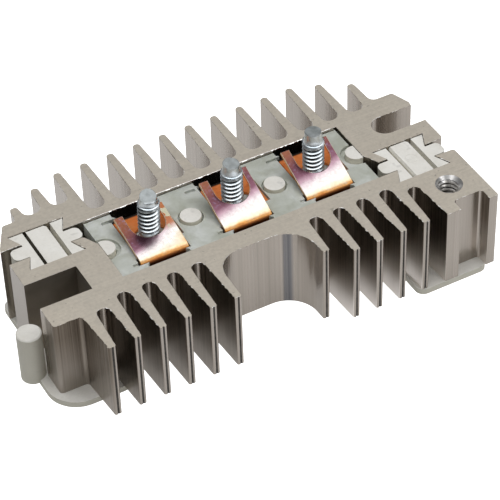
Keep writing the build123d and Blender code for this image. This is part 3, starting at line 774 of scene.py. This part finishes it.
def thread_rows(low, high):
    """Rows of a right-hand thread: height where each row starts, and how high it stands."""
    turns = math.ceil((high - low) / THREAD_PITCH) + 1
    return [
        (low + (turn + place) * THREAD_PITCH, height)
        for turn in range(-1, turns) for place, height in THREAD_FORM
    ]


def climbing_row(start, low, high):
    """Heights round a thread's row, which climbs one pitch per turn and stops at its ends."""
    climb = THREAD_PITCH / STUD_SEGMENTS
    return [min(max(start + climb * i, low), high) for i in range(STUD_SEGMENTS)]


def threaded(plain_below, low, high, plain_above, thread_radius, plain_radius, centre):
    """Closed round solid: plain rings, a thread from low to high, plain rings."""
    form = bmesh.new()
    thread = thread_rows(low, high)
    rows = [(None, [z] * STUD_SEGMENTS) for z in plain_below]
    rows += [(height, climbing_row(start, low, high)) for start, height in thread]
    rows += [(None, [z] * STUD_SEGMENTS) for z in plain_above]
    rings = []
    for height, levels in rows:
        ring = []
        for i, z in enumerate(levels):
            turn = math.tau * i / STUD_SEGMENTS
            if height is None:
                radius = plain_radius(z, turn)
            else:
                fade = min(1.0, (z - low) / THREAD_PITCH, (high - z) / THREAD_PITCH)
                radius = thread_radius(height, fade)
            ring.append(form.verts.new((
                centre[0] + radius * math.cos(turn), centre[1] + radius * math.sin(turn), z)))
        rings.append(ring)
    join_rings(form, rings, len(plain_below), len(plain_below) + len(thread) - 1)
    form.faces.new(list(reversed(rings[0])))
    form.faces.new(rings[-1])
    bmesh.ops.remove_doubles(form, verts=form.verts, dist=RING_MERGE)
    return form


def join_rings(form, rings, first, last):
    """Faces from ring to ring. From first to last, a row goes on as the same row a turn higher."""
    for r in range(len(rings) - 1):
        for i in range(STUD_SEGMENTS - 1):
            form.faces.new((rings[r][i], rings[r][i + 1], rings[r + 1][i + 1], rings[r + 1][i]))
        under, over = r, r + 1
        if first <= r < last:
            under, over = (min(k + len(THREAD_FORM), last) for k in (under, over))
        if under != over:
            form.faces.new((rings[r][-1], rings[under][0], rings[over][0], rings[r + 1][-1]))
        else:
            form.faces.new((rings[r][-1], rings[under][0], rings[r + 1][-1]))


def output_hole():
    """Axis of the tapped hole, from the record's mount."""
    mount = next(m for m in frame["record"]["mounts"] if m["name"] == "output_terminal")
    return mount["pos_m"][:2]


def thread_cutter():
    """The tapped thread as a solid, to be cut out of a bore."""

    def thread_radius(height, fade):
        return CUTTER_RADIUS + HOLE_THREAD_DEPTH * fade * height

    bottom, top = TOP - HOLE_THREAD_LENGTH, TOP + CUTTER_PAST_TOP
    form = threaded(
        [bottom - CUTTER_END], bottom, top, [top + CUTTER_END], thread_radius,
        lambda z, turn: CUTTER_RADIUS, output_hole())
    return as_object(form, "thread cutter")


def cut_end(form, index, centre, dog_top):
    """Cut the stud's end at a slope, break it up a little and lean the stud over."""
    end = STUD_ENDS[index]
    for vert in form.verts:
        if vert.co.z > DOG_FROM:
            out = (vert.co.x - centre[0]) * math.cos(end["way"])
            out += (vert.co.y - centre[1]) * math.sin(end["way"])
            lift = (vert.co.z - DOG_FROM) / (dog_top - DOG_FROM)
            chip = noise.noise(vert.co / MM * 1.4 + Vector((0, 0, 5 * index)))
            drop = end["slope"] * (out + DOG_RADIUS) + end["rough"] * MM * (1 + chip)
            vert.co.z -= lift * drop
        if vert.co.z > TOP:
            vert.co.x += end["lean"] * (vert.co.z - TOP)


def square_head(form, centre, half, bottom):
    """The stud's square head, with rounded edges."""
    middle = Matrix.Translation((*centre, bottom + HEAD_THICK / 2))
    size = Matrix.Diagonal((2 * half, 2 * half, HEAD_THICK, 1))
    head = bmesh.ops.create_cube(form, size=1.0, matrix=middle @ size)
    corners = set(head["verts"])
    bevel(form, [e for e in form.edges if set(e.verts) <= corners], HEAD_EDGE, 2)


def threaded_stud(index):
    """Stud with its thread, cone and roughly cut dog point."""
    node = f"terminal_stud_{index}"
    low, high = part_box(node)
    centre = ((low.x + high.x) / 2, (low.y + high.y) / 2)
    dog_top = high.z

    def thread_radius(height, fade):
        return CREST_RADIUS - THREAD_DEPTH * fade * (1 - height)

    def plain_radius(z, turn):
        wobble = noise.noise(Vector((math.cos(turn), math.sin(turn), z / MM * 0.8 + 9 * index)))
        if z < THREAD_FROM:
            return SHANK_RADIUS
        if z < DOG_FROM:
            part = (z - CONE_FROM) / (DOG_FROM - CONE_FROM)
            narrowing = (DOG_ROOT_RADIUS - CONE_RADIUS) * part ** CONE_CURVE
            return CONE_RADIUS + narrowing + CONE_WOBBLE * wobble
        part = (z - DOG_FROM) / (dog_top - DOG_FROM)
        edge = DOG_EDGE if z == dog_top else 0.0
        return DOG_ROOT_RADIUS - DOG_TAPER * part + DOG_WOBBLE * wobble - edge

    shank = [low.z + HEAD_THICK / 2, THREAD_FROM - SHANK_GAP]
    cone_step = (DOG_FROM - CONE_FROM) / CONE_RINGS
    cone = [CONE_FROM + CONE_GAP + cone_step * i for i in range(CONE_RINGS)]
    dog_step = (dog_top - DOG_EDGE_HEIGHT - DOG_FROM) / DOG_RINGS
    dog = [DOG_FROM + dog_step * i for i in range(DOG_RINGS + 1)] + [dog_top]
    form = threaded(
        shank, THREAD_FROM, CONE_FROM, cone + dog, thread_radius, plain_radius, centre)
    cut_end(form, index, centre, dog_top)
    square_head(form, centre, (high.x - low.x) / 2, low.z)
    stand_for(form, node, zinc(f"zinc plating {index}", centre))


def soft_edged(node, width, segments=2, look=None):
    """A node with its sharp edges rounded as moulding or shearing leaves them."""
    form = edit_mesh(node, node != "terminal_carrier")
    bevel(form, sharp_edges(form, EDGE_ANGLE), width, segments)
    has_slit = "key_wedge" in node or "insulator" in node
    if has_slit:
        ease_slits(form)
    piece = stand_for(form, node, look)
    if has_slit:
        # Left-facing slit walls: painted shade on the left wedge's, painted light on the others'
        piece.data.materials.append(SLIT_SHADE_NYLON if node == "left_key_wedge" else LIT_SLIT_NYLON)
        for face in piece.data.polygons:
            face.material_index = int(in_key_slit(face))


def at_slit(point, slit):
    """Whether a point of a key is at the walls of this slit, given as the slit's x."""
    return slit - SLIT_LEFT < point.x < slit + SLIT_RIGHT


def ease_slits(form):
    """Slope the tops of the key slits' left-facing walls, apart from the leftmost slit's."""
    form.normal_update()
    top = max(vert.co.z for vert in form.verts)
    rim, bevel_foot = top - SLIT_RIM, top - SLIT_BEVEL
    for slit in KEY_SLITS[1:]:
        for vert in form.verts:
            if vert.co.z > rim and at_slit(vert.co, slit) and faces_left(vert, -0.2):
                vert.co.x += SLIT_SLOPE
        for vert in form.verts:
            on_bevel = bevel_foot < vert.co.z < rim and at_slit(vert.co, slit)
            if on_bevel and faces_left(vert, -0.5):
                vert.co.z -= 2 * SLIT_SLOPE


def in_key_slit(face):
    """Whether a nylon face looks left across the narrow slit beside a wedge."""
    return face.normal.x < -0.6 and any(
        abs(face.center.x - slit) < SLIT_REACH for slit in KEY_SLITS)


def gate_mark(node):
    """Round mark of the mould's gate, on top of a wedge."""
    low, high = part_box(node)
    bpy.ops.mesh.primitive_torus_add(
        major_radius=GATE_RADIUS, minor_radius=GATE_WIRE, major_segments=40, minor_segments=6,
        location=((low.x + high.x) / 2, (low.y + high.y) / 2, high.z))
    ring = bpy.context.object
    ring.name = "gate_mark"
    ring.data.materials.append(LOOKS[SLOTS[node]])
    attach(ring, "root")


# Each node's own mesh gets its slot's look, and then the pieces are made
for node, slot in SLOTS.items():
    mesh = NODES[node].data
    mesh.materials.clear()
    mesh.materials.append(LOOKS[slot])

sawn_sink("rear_heat_sink")
sawn_sink("front_heat_sink", thread_cutter())
for node in ("left_end_insulator", "right_end_insulator", "left_key_wedge", "right_key_wedge",
             "terminal_carrier"):
    soft_edged(node, NYLON_EDGE)
soft_edged("base_strip", NYLON_EDGE, look=DISC_NYLON)
gate_mark("right_key_wedge")
for index in TERMINALS:
    threaded_stud(index)
    soft_edged(f"positive_lead_{index}", COPPER_EDGE, 1, tinted_copper(index))
    soft_edged(f"negative_lead_{index}", COPPER_EDGE, 1)

bpy.ops.mesh.primitive_plane_add(size=FLOOR_SIZE, location=(0, 0, 0))
floor = bpy.context.object
floor.name = "floor"
floor.data.materials.append(paper())


def softbox(name, place, target, size, radiance):
    """Rectangular light of a given brightness, turned to its target."""
    light = bpy.data.lights.new(name, "AREA")
    light.shape = "RECTANGLE"
    light.size, light.size_y = size
    light.energy = radiance * math.pi * size[0] * size[1]
    lamp = bpy.data.objects.new(name, light)
    lamp.location = place
    lamp.rotation_euler = (Vector(target) - Vector(place)).to_track_quat("-Z", "Y").to_euler()
    bpy.context.collection.objects.link(lamp)


softbox("overhead", (0.1, 0.0, 1.1), (0.1, 0, 0), (1.8, 1.2), 2.0)
softbox("front", (0.55, -1.0, 0.75), (0, 0, 0), (0.6, 0.35), 3.0)

world = bpy.data.worlds.new("studio")
bpy.context.scene.world = world
world.use_nodes = True
background = next(n for n in world.node_tree.nodes if n.type == "BACKGROUND")
background.inputs["Color"].default_value = (*WHITE, 1)
background.inputs["Strength"].default_value = WORLD_STRENGTH
bpy.context.scene.view_settings.view_transform = "Standard"

camera = bpy.data.cameras.new("camera")
camera.sensor_width = SENSOR_WIDTH
camera.lens = LENS
camera.shift_x, camera.shift_y = SHIFT
camera.clip_start = CLIP_START
eye = bpy.data.objects.new("camera", camera)
bpy.context.collection.objects.link(eye)
turn = Matrix((EYE_RIGHT, EYE_ABOVE, EYE_BEHIND)).transposed().to_4x4()
eye.matrix_world = Matrix.Translation(EYE_PLACE) @ turn
bpy.context.scene.camera = eye
